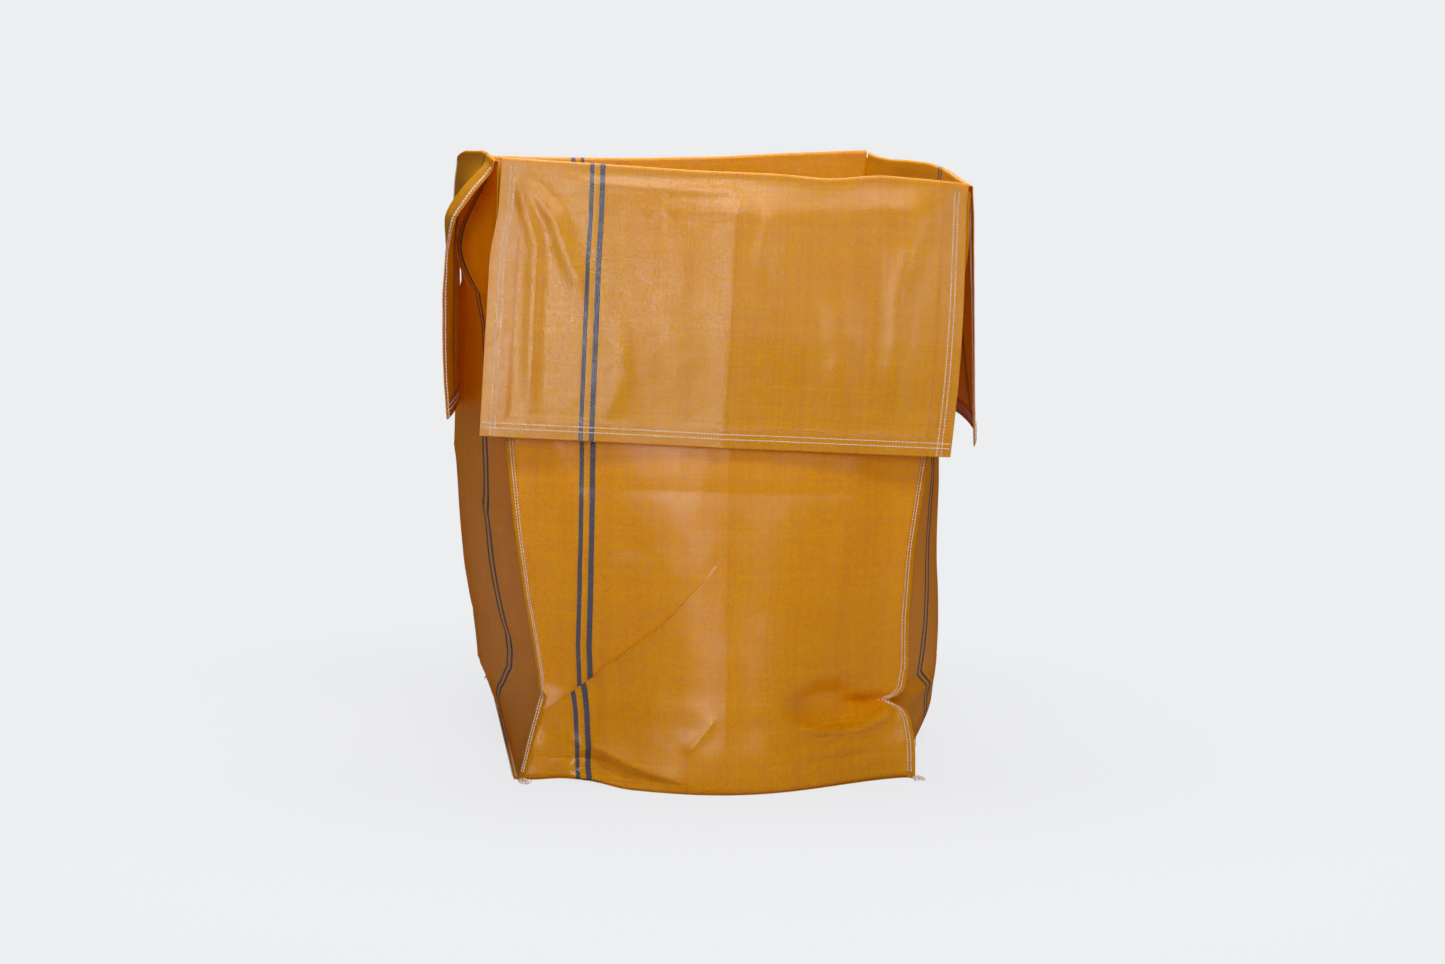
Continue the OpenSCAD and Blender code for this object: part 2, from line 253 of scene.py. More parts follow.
# Sharp creases of each panel: line of distances along and heights, rise and width in millimetres, fade
CREASES = (
    (
        (((0.0, 0.03), (0.0, 0.5), (0.0, 0.86)), 1.3, 15, 0.08),
        (((-0.3, 0.435), (0.0, 0.432), (0.3, 0.43)), -1.6, 12, 0.25),
        (((-0.01, 0.118), (-0.035, 0.085), (-0.06, 0.055)), 3, 8, 0.25),
        (((0.06, 0.05), (0.13, 0.07), (0.19, 0.079)), -2.5, 7, 0.25),
        (((0.1, 0.035), (0.18, 0.04), (0.25, 0.05)), -2, 6, 0.25),
        (((-0.25, 0.03), (-0.19, 0.034), (-0.13, 0.029)), -3, 5, 0.25),
        (((-0.22, 0.075), (-0.2, 0.055), (-0.19, 0.042)), 2.5, 6, 0.25),
        (((-0.17, 0.028), (-0.1, 0.018), (-0.04, 0.012)), -2, 5, 0.25),
        (((0.205, 0.084), (0.175, 0.066), (0.145, 0.05)), -2.5, 5, 0.25),
        (((0.165, 0.034), (0.2, 0.036), (0.235, 0.044)), -2.5, 4, 0.25),
        (((0.22, 0.07), (0.245, 0.062), (0.268, 0.052)), -2, 5, 0.25),
    ),
    (
        (((0.0, 0.06), (0.0, 0.86)), -4, 22, 0.08),
        (((-0.3, 0.44), (0.3, 0.45)), 2.5, 14, 0.25),
    ),
    (
        (((0.0, 0.03), (0.0, 0.86)), 5, 24, 0.08),
        (((-0.3, 0.43), (0.3, 0.436)), -2, 14, 0.25),
        (((-0.26, 0.13), (-0.12, 0.19), (0.0, 0.31)), 5, 14, 0.25),
        (((0.27, 0.12), (0.16, 0.14), (0.05, 0.12)), -8, 20, 0.25),
        (((0.2, 0.05), (0.08, 0.07), (-0.06, 0.04)), 5, 14, 0.25),
    ),
    (
        (((0.32, 0.69), (0.1, 0.7), (-0.2, 0.695)), -4, 10, 0.25),
        (((0.0, 0.05), (0.0, 0.86)), -5, 24, 0.08),
        (((0.27, 0.16), (0.12, 0.2), (-0.1, 0.17)), -6, 22, 0.25),
        (((0.25, 0.33), (0.1, 0.42), (-0.1, 0.45)), 4, 18, 0.25),
        (((0.2, 0.09), (0.0, 0.11), (-0.2, 0.08)), 5, 20, 0.25),
    ),
)
# Soft ridges of each panel: line, rise and width in millimetres
SWELLS = (
    (
        (((-0.25, 0.29), (-0.18, 0.34), (-0.1, 0.36)), -3, 16),
        (((-0.27, 0.52), (-0.22, 0.42), (-0.21, 0.3)), 3, 22),
        (((0.18, 0.52), (0.2, 0.4), (0.15, 0.24)), 4, 30),
    ),
    (),
    (),
    (),
)
# Diagonal tuck of the front panel: line, height of the step, cloth taken up, overlap, reach up and down
TUCK = ((-0.28, 0.07), (-0.262, 0.084), (-0.19, 0.146), (-0.09, 0.24), (-0.01, 0.337), (0.0, 0.35))
TUCK_STEP = 5 * MM
TUCK_TAKEN = 9 * MM
TUCK_LAP = 4 * MM
TUCK_REACH = (0.1, 0.03)
# Edge near the front panel's foot: its line, rise and reach, depth of the turn and its slope
LOWER_FOLD = ((-0.2, 0.062), (-0.13, 0.036), (-0.03, 0.01))
LOWER_FOLD_RISE = 6 * MM
LOWER_FOLD_REACH = 30 * MM
LOWER_FOLD_TURN = 26 * MM
LOWER_FOLD_SLOPE = 0.55
# Pocket pressed in beside the kink: middle, half sizes, depth, slope, raised lip and creases that run into it
POCKET = (0.167, 0.124)
POCKET_HALF = (0.092, 0.042)
POCKET_DEPTH = 26 * MM
POCKET_SLOPE = 0.11
POCKET_LIP = 4.5 * MM
POCKET_CREASES = (
    (((0.25, 0.125), (0.215, 0.15), (0.165, 0.166)), -3.5, 7, 0.4),
    (((0.25, 0.118), (0.21, 0.13), (0.175, 0.132)), 4, 6, 0.4),
)
# Pleat of the right panel: height, slope, half width, depth
PLEAT_HEIGHT = 0.104
PLEAT_SLOPE = 0.06
PLEAT_HALF = 10 * MM
PLEAT_DEPTH = 11 * MM
# Bellies of the left panel under its flap: distance along and reach, height and reach, rise in millimetres
LEFT_BELLIES = ((0.18, 0.11, 0.765, 0.075, 37), (-0.27, 0.08, 0.745, 0.085, 10))


def tuck(x, z):
    """For the front panel's tuck: 1 on the cloth that lies on top, distance from the line, strength."""
    distance, share = near_line(x, z, TUCK)
    strength = smooth(share / 0.12) * smooth((0.97 - share) / 0.6)
    return smooth(0.5 - distance / CLOTH), distance, strength


def lower_fold(x, z):
    """Crisp edge near the foot, below which the cloth turns under."""
    above, share = near_line(x, z, LOWER_FOLD)
    ends = smooth(share / 0.12) * smooth((1 - share) / 0.35)
    turned = np.where(above < 0, -np.minimum(-above, LOWER_FOLD_TURN) * LOWER_FOLD_SLOPE, 0)
    return ends * (LOWER_FOLD_RISE * np.exp(-np.abs(above) / LOWER_FOLD_REACH) + turned)


def front_tuck(x, z):
    """Step of the front panel's tuck, and the edge near its foot."""
    over, distance, strength = tuck(x, z)
    step = TUCK_STEP * strength
    upper = over * step * np.exp(-np.abs(distance) / TUCK_REACH[0])
    lower = (1 - over) * step * np.exp(-np.abs(distance) / TUCK_REACH[1])
    return upper - lower + lower_fold(x, z)


def right_pleat(x, z):
    """Pleat that runs back across the right panel from the kink."""
    near_front = smooth((-0.1 - x) / 0.06)
    up = (z - PLEAT_HEIGHT - PLEAT_SLOPE * (x + 0.3)) / PLEAT_HALF
    pleat = near_front * PLEAT_DEPTH * np.where(up > 0, -np.exp(-up / 4), np.exp(np.minimum(up, 0) / 3))
    return np.where(np.abs(up) < 1, pleat * np.abs(up), pleat)


def left_bellies(x, z):
    """Soft round rises of the left panel."""
    total = 0
    for place, reach, height, reach_up, rise in LEFT_BELLIES:
        total = total + rise * MM * np.exp(-(((x - place) / reach) ** 2) - ((z - height) / reach_up) ** 2)
    return total


def panel_folds(side, x, z):
    """How far a panel's folds stand out, at distances along the side and heights."""
    own = {0: front_tuck, 1: right_pleat, 3: left_bellies}
    folds = creases(x, z, CREASES[side])
    if side in own:
        folds = folds + own[side](x, z)
    for line, rise, width in SWELLS[side]:
        folds = folds + swell(x, z, line, rise * MM, width * MM)
    return folds


def front_pocket(x, z):
    """Pocket that runs from the kink of the front right seam: soft above, with a crisp lip below."""
    across = (x - POCKET[0]) / POCKET_HALF[0]
    up = (z - POCKET[1] + POCKET_SLOPE * (x - POCKET[0])) / POCKET_HALF[1]
    reach = np.hypot(across, up)
    inside = np.clip(reach, 0, 1)
    soft = (1 - inside) ** 2 * (1 + 2 * inside)
    crisp = 1 - inside ** 4
    depth = POCKET_DEPTH * smooth((x - 0.055) / 0.09) * (soft + (crisp - soft) * smooth(0.5 - up))
    ring = np.exp(-(((reach - 1.06) / 0.14) ** 2))
    lip = POCKET_LIP * ring * smooth(-2 * up) * smooth((x - 0.09) / 0.06)
    return lip + creases(x, z, POCKET_CREASES) - depth


# Cloth of the body

FOOT_LIFT = 7 * MM
FLOOR_BEND = (9 * MM, 3 * MM, 9 * MM, 3 * MM)
# Unevenness of the panels: height, wavelength, first seed
PANEL_RIPPLES = ((0.8 * MM, 0.19, 11), (0.18 * MM, 0.045, 31))
PUCKER = 1.1 * MM
PUCKER_LENGTH = 0.05
FIN_STEPS = (0.12, 0.3, 0.5, 0.75, 1.0)
FIN_TURN = math.radians(72)
FIN_SWAY = 0.16


def seam(corner, z, broad=False):
    """Place of a corner seam at a height, or with broad its place with the sharp bends evened out."""
    share = np.clip(z / RIM_HEIGHT, 0, 1)
    ease = SEAM_EASE_BROAD if broad else SEAM_EASE[corner]
    sx, sy = np.sign(diagonal(corner)[:2])
    x = sx * (MOUTH_HALF - MM * eased(SEAM_PULL[corner], share, 1, ease))
    y = sy * (MOUTH_HALF - MM * eased(SEAM_PULL[corner], share, 2, ease))
    return np.stack([x, y, np.zeros_like(x)], -1)


def seam_side(corner, side):
    """Direction across the seam, from the seam into the given panel."""
    d = diagonal(corner)
    t = along(side) * (1 if corner == side else -1)
    return unit(t - (t @ d) * d)


def foot_arch(x):
    """Share of the lift of the front panel's foot off the floor."""
    return smooth((x + 0.275) / 0.06) * smooth((-0.13 - x) / 0.06)


def panel_ends(side, u):
    """Heights of a panel's foot and top at shares across."""
    x = (u - 0.5) * 2 * MOUTH_HALF
    return CLOTH / 2 + (side % 2) * CLOTH, axis_z(side, x) - PANEL_GAP + rim_wave(side, x)


def between_seams(side, u, z):
    """Points straight across from seam to seam at shares across and heights."""
    following = (side + 1) % 4
    gap = CLOTH / 2 + 0.1 * MM
    first = seam(side, z, broad=True)
    last = seam(following, z, broad=True)
    points = first + u[..., None] * (last - first)
    for corner, evened, share in ((side, first, u), (following, last, 1 - u)):
        sharp = seam(corner, z) + gap * seam_side(corner, side)
        points = points + (1 - smooth(share / KINK_REACH))[..., None] * (sharp - evened)
    return points


def panel_points(side, u, v):
    """Points of a panel, and each point's distance along the side and height, at shares across and up."""
    foot, top = panel_ends(side, u)
    z = foot + v * (top - foot)
    flat = between_seams(side, u, z)
    place = flat @ along(side)
    if side == 0:
        over, distance, strength = tuck(place, z)
        lap = TUCK_LAP * strength * over * np.exp(-np.abs(distance) / (8 * MM))
        flat = flat - (0.67 * lap)[..., None] * along(side)
    from_edge = np.minimum(u, 1 - u)
    out = MM * eased(PANEL_BULGE[side], v) * np.maximum(np.sin(math.pi * u), 0) ** BULGE_POWER
    loose = smooth(from_edge / 0.1) * smooth((1 - v) / 0.06) * smooth(v / 0.02)
    out = out + loose * panel_folds(side, place, z)
    if side == 0:
        out = out + smooth(from_edge / 0.03) * smooth(v / 0.03) * front_pocket(place, z)
    for height, wavelength, seed in PANEL_RIPPLES:
        out = out + loose * height * ripples(place, z, seed + side, wavelength)
    pucker = PUCKER * np.exp(-from_edge / 0.035) * smooth(from_edge / 0.006)
    pucker = pucker * ripples(z, z * 0, 51 + side, PUCKER_LENGTH)
    out = out + pucker * smooth((1 - v) / 0.1) * smooth(v / 0.05)
    bend = FLOOR_BEND[side]
    low = np.clip(1 - (z - foot) / bend, 0, 1)
    turn = bend * (1 - np.sqrt(1 - low * low)) * (-1 if side % 2 == 0 else 1)
    points = flat + (out + turn)[..., None] * outward(side)
    points[..., 2] = z
    if side == 0:
        points[..., 2] += 0.74 * lap + FOOT_LIFT * foot_arch(place) * (1 - smooth(v / 0.09))
    return points, place, z


def fin_direction(corner, z):
    """Direction of a corner's standing allowances, which fold over the front low at the front left."""
    folded = 0.98 * smooth((0.14 - z) / 0.02) if corner == 0 else 0.0
    angle = FIN_TURN * (folded + FIN_SWAY * np.sin(9 * z + corner))
    d = diagonal(corner)
    x = d[0] * np.cos(angle) - d[1] * np.sin(angle)
    y = d[0] * np.sin(angle) + d[1] * np.cos(angle)
    return np.stack([x, y, np.zeros_like(x)], -1)


def fin_width(v):
    """Width of the standing allowances, narrower by the rim."""
    return ALLOWANCE_AT_RIM + (ALLOWANCE - ALLOWANCE_AT_RIM) * smooth((1 - v) / 0.1)


def follow_tuck(u, v, rows):
    """Levels of the front panel's rows, bent so that two neighbouring rows run along the tuck's edge."""
    row = int(0.42 * rows)
    foot, top = panel_ends(0, u[0])
    line = np.full_like(u[0], 0.2)
    for _ in range(6):
        line = np.interp(between_seams(0, u[0], line) @ along(0), *np.transpose(TUCK))
    line = (line - foot) / (top - foot)
    bent = np.empty_like(v)
    gap = 0.6 * MM / RIM_HEIGHT
    bent[:row + 1] = np.linspace(0, 1, row + 1)[:, None] ** 1.15 * (line - gap)
    bent[row + 1:] = line + gap + np.linspace(0, 1, rows - row - 1)[:, None] * (1 - line - gap)
    return bent


def panel_grid(side, columns, rows):
    """Grid of a panel with its two seam allowances, and the cloth coordinates of its points."""
    levels = np.linspace(0, 1, rows) ** 1.35
    u, v = np.meshgrid(np.linspace(0, 1, columns), levels)
    if side == 0:
        v = follow_tuck(u, v, rows)
    points, place, z = panel_points(side, u, v)
    across = place - np.interp(z, *np.transpose(STRIPE_PATH[side]))
    if side == 0:
        across = across + TUCK_TAKEN * tuck(place, z)[0] * smooth((0.31 - z) / 0.12)
    cloth = np.stack([across, points[..., 2]], -1)
    for corner, edge, sign in ((side, 0, -1), ((side + 1) % 4, -1, 1)):
        root = points[:, edge]
        fin = fin_direction(corner, root[:, 2])
        width = fin_width(v[:, edge])
        steps = np.array(FIN_STEPS[::sign])
        reach = steps * width[:, None]
        strip = root[:, None] + reach[..., None] * fin[:, None]
        run = np.stack([cloth[:, edge, :1] + sign * reach, np.repeat(root[:, 2:], len(steps), 1)], -1)
        if sign < 0:
            points = np.concatenate([strip, points], 1)
            cloth = np.concatenate([run, cloth], 1)
        else:
            points = np.concatenate([points, strip], 1)
            cloth = np.concatenate([cloth, run], 1)
    return points, cloth


# Flaps

ROLL_STEPS = 13
STRIP_STEPS = 4
# Soft ridges of the front flap: line of distance along and share of the drop, millimetres, width, fades
FRONT_FLAP_SWELLS = (
    (((-0.33, 0.02), (-0.283, 0.3), (-0.278, 0.98)), 4.5, 0.011, 0.12, 0.3),
    (((-0.32, 0.02), (-0.262, 0.2), (-0.222, 0.42), (-0.212, 0.6)), 5.5, 0.013, 0.15, 0.5),
    (((-0.3, 0.03), (-0.2, 0.06), (-0.1, 0.058), (-0.004, 0.05)), 3.6, 0.009, 0.3, 0.02),
    (((-0.16, 0.5), (-0.15, 0.75), (-0.17, 0.97)), 1.6, 0.014, 0.4, 0.3),
    (((-0.06, 0.12), (-0.09, 0.5), (-0.04, 0.9)), 1.2, 0.03, 0.3, 0.3),
    (((0.05, 0.09), (0.04, 0.3), (0.06, 0.45)), 3.0, 0.014, 0.3, 0.5),
    (((0.27, 0.12), (0.245, 0.4), (0.25, 0.9)), 4.0, 0.018, 0.25, 0.4),
    (((0.13, 0.25), (0.17, 0.6), (0.16, 0.95)), 2.5, 0.022, 0.4, 0.4),
)
# Front flap: how far its left edge leans in, its right shoulder stands out and its right corner falls back
FRONT_LEAN = 8 * MM
FRONT_SHOULDER = 5 * MM
FRONT_CORNER_FALL = 9 * MM
FRONT_CORNER_SWING = 10 * MM
# Curl of the left flap's front edge: height, distance along and reach, share of the drop and reach
LEFT_CURL = 20 * MM
LEFT_CURL_AT = (0.262, 0.045, 0.18, 0.16)
# How far the cloth of the front flap's left and right edges, and of the back flap's, draws in beside the fold
FRONT_DRAW = (8.4 * MM, 8.6 * MM)
BACK_DRAW = 9 * MM


def flap_folds(side, x, share, edge):
    """Waves and packing creases of a hanging flap, never inwards of its fold."""
    fall = share * FLAP_DROP
    hanging = smooth(share / 0.12)
    ridge = 0.55 * (1 - np.abs(edge)) + 0.45 * np.exp(-np.abs(x) / 0.05)
    folds = CREASE_RIDGE[side] * ridge * smooth(share / 0.16)
    folds = folds + hanging * (1.2 * MM + 0.32 * MM * ripples(x, fall, 71 + side, 0.17))
    folds = folds + hanging * 0.12 * MM * (1 + ripples(x, fall, 81 + side, 0.035))
    near_hem = np.minimum((FLAP_HALF[side] - np.abs(x)) / SIDE_HEM, (1 - share) * FLAP_DROP / END_HEM)
    folds = folds + HEM_STEP * hanging * smooth((1.04 - near_hem) / 0.08)
    if side == 0:
        for line, height, width, start, end in FRONT_FLAP_SWELLS:
            points = [(px, part * FLAP_DROP) for px, part in line]
            folds = folds + hanging * swell(x, fall, points, height * MM, width, start, end)
        lean = np.clip((-0.21 - x) / 0.13, 0, 1) * smooth((1 - share) / 0.4)
        shoulder = smooth((x - 0.12) / 0.15) * smooth((0.7 - share) / 0.6)
        corner = smooth((x - 0.262) / 0.078) * smooth((0.55 - share) / 0.45)
        folds = folds + hanging * (FRONT_SHOULDER * shoulder - FRONT_LEAN * lean - FRONT_CORNER_FALL * corner)
    if side == 3:
        place, reach, level, reach_down = LEFT_CURL_AT
        curl = np.exp(-(((x - place) / reach) ** 2) - ((share - level) / reach_down) ** 2)
        folds = folds + LEFT_CURL * curl * smooth(share / 0.05)
    return np.maximum(folds, -MM * eased(FLAP_LIFT[side], share) * 0.6)


def drawn_in(side, edge, share):
    """How far a flap's edges draw in beside its fold, so that it closes between the side rims."""
    if side == 0:
        left = FRONT_DRAW[0] * (1 - smooth((share - 0.16) / 0.2))
        right = FRONT_DRAW[1] * np.clip(1.1 - share / 0.66, 0, 1)
    elif side == 2:
        left = BACK_DRAW * (1 - smooth((share - 0.5) / 0.3))
        right = left
    else:
        left = 0 * share
        right = left
    return np.where(edge < 0, left, -right) * np.abs(edge) ** 3


def flap_points(side, x, share):
    """Points of a hanging flap, square to its rim, at distances along it and shares of its drop."""
    edge = x / FLAP_HALF[side]
    flare = ((1 + edge) / 2) ** (1.7 + 0.5 * smooth((share - 0.25) / 0.3))
    kept = 1 - FLAP_EDGE_TUCK[side] * edge * edge - FLAP_TWIST[side] * (1 - flare)
    out = AXIS_OUT + FOLD_RADIUS + kept * MM * eased(FLAP_LIFT[side], share)
    out = out + flap_folds(side, x, share, edge)
    drop = FLAP_DROP - FLAP_RISE[side] + FLAP_SKEW[side] * edge
    swing = FLAP_SWING[side] + RIM_SLOPE[side] * FLAP_DROP
    if side == 0:
        swing = swing - FRONT_CORNER_SWING * smooth(edge) * share
    z = axis_z(side, x) + rim_wave(side, x) * (1 - share) ** 2 - share * drop
    return from_side(side, x + share * swing + drawn_in(side, edge, share), out, z)


def flap_grid(side, columns, rows):
    """Grid of a flap from its free end up, over the rim's roll and down to the panel's top edge."""
    half = FLAP_HALF[side]
    inner = min(half, MOUTH_HALF - (1 + 3.5 * (side % 2)) * MM)
    hem_line = 1 - SIDE_HEM / half
    hem_columns = np.linspace(hem_line, 1, 13)[1:]
    middle_columns = np.linspace(-hem_line, hem_line, columns)
    columns_x = half * np.concatenate([-hem_columns[::-1], middle_columns, hem_columns])
    end_share = 1 - END_HEM / FLAP_DROP
    shares = np.concatenate([np.linspace(1, end_share, 9)[:-1], np.linspace(end_share, 0, rows)])
    hanging = flap_points(side, *np.meshgrid(columns_x, shares))

    turns = np.linspace(0, math.pi, ROLL_STEPS)[1:]
    x, turn = np.meshgrid(columns_x, turns)
    start = x + drawn_in(side, x / half, 0 * x)
    narrow = start + (x * inner / half - start) * smooth(turn / math.pi)
    z = axis_z(side, narrow) + rim_wave(side, narrow) + FOLD_RADIUS * np.sin(turn)
    roll = from_side(side, narrow, AXIS_OUT + FOLD_RADIUS * np.cos(turn), z)

    falls = np.linspace(0, PANEL_GAP, STRIP_STEPS + 1)[1:]
    x, fall = np.meshgrid(columns_x * inner / half, falls)
    z = axis_z(side, x) + rim_wave(side, x) - fall
    strip = from_side(side, x, np.full_like(x, MOUTH_HALF), z)

    run = np.concatenate([
        (1 - shares) * FLAP_DROP, FLAP_DROP + FOLD_RADIUS * turns, FLAP_DROP + math.pi * FOLD_RADIUS + falls])
    x, to_end = np.meshgrid(columns_x, run)
    drift = STRIPE_DRIFT[side] * np.clip(1 - to_end / FLAP_DROP, 0, 1)
    uv = np.stack([x - STRIPE_PATH[side][-1][1] - drift, to_end], -1)
    hem = np.minimum((half - np.abs(x)) / SIDE_HEM, to_end / END_HEM)
    return np.concatenate([hanging, roll, strip]), uv, hem


# Meshes

SHARP_ANGLE = math.radians(62)


def grid_normals(grid):
    """Normals of a grid whose columns run to the right and rows run up, seen from outside."""
    return unit(np.cross(np.gradient(grid, axis=1), np.gradient(grid, axis=0)))


def new_object(name, verts, faces, material):
    """Smooth-shaded mesh object in the scene."""
    mesh = bpy.data.meshes.new(name)
    mesh.from_pydata(np.asarray(verts).tolist(), [], np.asarray(faces).tolist())
    mesh.update()
    mesh.polygons.foreach_set("use_smooth", np.ones(len(mesh.polygons), bool))
    mesh.materials.append(material)
    obj = bpy.data.objects.new(name, mesh)
    bpy.context.scene.collection.objects.link(obj)
    return obj


def sheet(name, grid, uv, material, half=CLOTH / 2, hem=None):
    """Closed sheet of cloth, out to a distance on both faces of a grid of points."""
    rows, columns = grid.shape[:2]
    away = half * grid_normals(grid)
    verts = np.concatenate([(grid + away).reshape(-1, 3), (grid - away).reshape(-1, 3)])
    index = np.arange(rows * columns).reshape(rows, columns)
    outer = np.stack([index[:-1, :-1], index[:-1, 1:], index[1:, 1:], index[1:, :-1]], -1).reshape(-1, 4)
    inner = outer[:, ::-1] + rows * columns
    ring = np.concatenate([index[0, :-1], index[:-1, -1], index[-1, :0:-1], index[:0:-1, 0]])
    following = np.roll(ring, -1)
    rim = np.stack([ring, ring + rows * columns, following + rows * columns, following], -1)
    obj = new_object(name, verts, np.concatenate([outer, inner, rim]), material)
    mesh = obj.data
    corners = np.empty(len(mesh.loops), np.int32)
    mesh.loops.foreach_get("vertex_index", corners)
    flat = np.concatenate([uv.reshape(-1, 2)] * 2)[corners]
    mesh.uv_layers.new(name="cloth").data.foreach_set("uv", flat.astype(np.float32).ravel())
    if hem is not None:
        attribute = mesh.attributes.new("hem", "FLOAT", "POINT")
        attribute.data.foreach_set("value", np.tile(hem.ravel(), 2).astype(np.float32))
    mesh.set_sharp_from_angle(angle=SHARP_ANGLE)
    return obj


def join(name, objects):
    """One object of several, under the first one's mesh."""
    with bpy.context.temp_override(active_object=objects[0], selected_editable_objects=objects):
        bpy.ops.object.join()
    objects[0].name = name
    objects[0].data.name = name
    return objects[0]


def gathered(parts):
    """Points and faces of several meshes as one."""
    verts = []
    faces = []
    done = 0
    for part_verts, part_faces in parts:
        verts.append(part_verts)
        faces.append(part_faces + done)
        done += len(part_verts)
    return np.concatenate(verts), np.concatenate(faces)


def tube_faces(rings, sides):
    """Faces of a tube whose points run round each ring in turn."""
    index = np.arange(rings * sides).reshape(rings, sides)
    turned = np.roll(index, -1, 1)
    return np.stack([index[:-1], turned[:-1], turned[1:], index[1:]], -1).reshape(-1, 4)


# A stitch that dips into the cloth at both ends: place along it, width and rise of each ring
STITCH_RINGS = (
    (-0.5, 0.1, -0.5), (-0.42, 0.62, 0.1), (-0.2, 1, 0.62), (0.12, 0.92, 0.66), (0.38, 0.7, 0.2),
    (0.5, 0.1, -0.5),
)
STITCH_SIDES = 7


def stitch_template():
    """Points of one stitch along, across and above its line, and its faces."""
    points = []
    for place, width, rise in STITCH_RINGS:
        for k in range(STITCH_SIDES):
            angle = 2 * math.pi * k / STITCH_SIDES
            points.append((place, width * math.cos(angle), rise + width * math.sin(angle)))
    return np.array(points), tube_faces(len(STITCH_RINGS), STITCH_SIDES)


def read_path(places, lengths, values):
    """Vectors read at places along a path, from those at its points."""
    return np.stack([np.interp(places, lengths, values[:, k]) for k in range(3)], -1)


def stitches(path, normals, seed):
    """Points and faces of separate stitches along a path of points with normals."""
    lengths = np.concatenate([[0], np.cumsum(np.linalg.norm(np.diff(path, axis=0), axis=1))])
    count = max(2, int(lengths[-1] / STITCH_PITCH))
    rng = np.random.default_rng(seed)
    middle = (np.arange(count) + 0.5) * lengths[-1] / count
    at = read_path(middle, lengths, path)
    ahead = unit(read_path(middle + MM, lengths, path) - read_path(middle - MM, lengths, path))
    up = unit(read_path(middle, lengths, normals))
    across = unit(np.cross(up, ahead) + 0.1 * rng.standard_normal((count, 1)) * ahead)
    points, faces = stitch_template()
    length = STITCH_PITCH * (0.97 + 0.08 * rng.standard_normal(count))
    width = STITCH_RADIUS * (1 + 0.08 * rng.standard_normal(count))
    verts = (at[:, None] + points[None, :, :1] * length[:, None, None] * ahead[:, None]
             + points[None, :, 1:2] * width[:, None, None] * across[:, None]
             + points[None, :, 2:] * width[:, None, None] * up[:, None])
    offset = (np.arange(count) * len(points))[:, None, None]
    return verts.reshape(-1, 3), (faces[None] + offset).reshape(-1, 4)


def stitching(name, rows, material):
    """One object of all the rows of stitches in a node."""
    verts, faces = gathered(stitches(path, normals, seed) for seed, (path, normals) in enumerate(rows))
    return new_object(name, verts, faces, material)


# Materials

class Nodes:
    """Short calls for building the node tree of a material or a world."""

    def __init__(self, owner):
        owner.use_nodes = True
        self.owner = owner
        self.tree = owner.node_tree
        self.tree.nodes.clear()

    def add(self, kind, **settings):
        node = self.tree.nodes.new(kind)
        for key, value in settings.items():
            setattr(node, key, value)
        return node

    def feed(self, socket, value):
        if isinstance(value, bpy.types.NodeSocket):
            self.tree.links.new(value, socket)
        else:
            socket.default_value = value

    def node(self, kind, *values, **settings):
        node = self.add(kind, **settings)
        for socket, value in zip(node.inputs, values):
            self.feed(socket, value)
        return node

    def named(self, kind, values):
        node = self.add(kind)
        for name, value in values.items():
            self.feed(node.inputs[name], value)
        return node

    def math(self, operation, *values):
        return self.node("ShaderNodeMath", *values, operation=operation).outputs[0]

    def mix(self, factor, a, b):
        node = self.node("ShaderNodeMix", factor, data_type="RGBA")
        self.feed(node.inputs[6], a)
        self.feed(node.inputs[7], b)
        return node.outputs[2]

    def ramp(self, *values):
        return self.node("ShaderNodeMapRange", *values, interpolation_type="SMOOTHSTEP").outputs[0]

    def noise(self, vector, scale, detail):
        values = {"Vector": vector, "Scale": scale, "Detail": detail}
        return self.named("ShaderNodeTexNoise", values).outputs[0]

    def random(self, vector):
        return self.node("ShaderNodeTexWhiteNoise", vector, noise_dimensions="2D").outputs[0]

    def vector(self, x, y):
        return self.node("ShaderNodeCombineXYZ", x, y).outputs[0]

    def parts(self, vector):
        return self.node("ShaderNodeSeparateXYZ", vector).outputs[:2]

    def bump(self, strength, distance, height):
        values = {"Strength": strength, "Distance": distance, "Height": height}
        return self.named("ShaderNodeBump", values).outputs[0]

    def shaders(self, factor, first, second):
        return self.node("ShaderNodeMixShader", factor, first.outputs[0], second.outputs[0])

    def surface(self, shader):
        world = isinstance(self.owner, bpy.types.World)
        output = self.add("ShaderNodeOutputWorld" if world else "ShaderNodeOutputMaterial")
        self.tree.links.new(shader.outputs[0], output.inputs["Surface"])
        return self.owner


def colour(*srgb):
    """Linear colour of an sRGB one given in 0 to 255."""
    linear = [((v / 255 + 0.055) / 1.055) ** 2.4 if v > 10 else v / 255 / 12.92 for v in srgb]
    return (*linear, 1.0)


ORANGE = colour(244, 194, 8)
DEEP_ORANGE = colour(212, 138, 2)
GLOW_ORANGE = colour(255, 192, 12)
HEM_ORANGE = colour(232, 156, 14)
CUT_EDGE = colour(200, 96, 24)
# Painted shade for the grooves where the tapes dip at their crossings
PAINTED_GROOVE_SHADE = colour(120, 66, 6)
BLUE = colour(30, 58, 124)
BLUE_UNDER = colour(136, 126, 104)
THREAD_WHITE = colour(244, 234, 226)
THREAD_SHADE = colour(226, 190, 170)
LIGHT_PASSED = 0.4
TAPE = 2.3 * MM
STRIPES = ((-10.6 * MM, -4.4 * MM), (4.1 * MM, 11.6 * MM))
WEAVE_BUMP = 0.24
WEAVE_DEPTH = 0.35 * MM


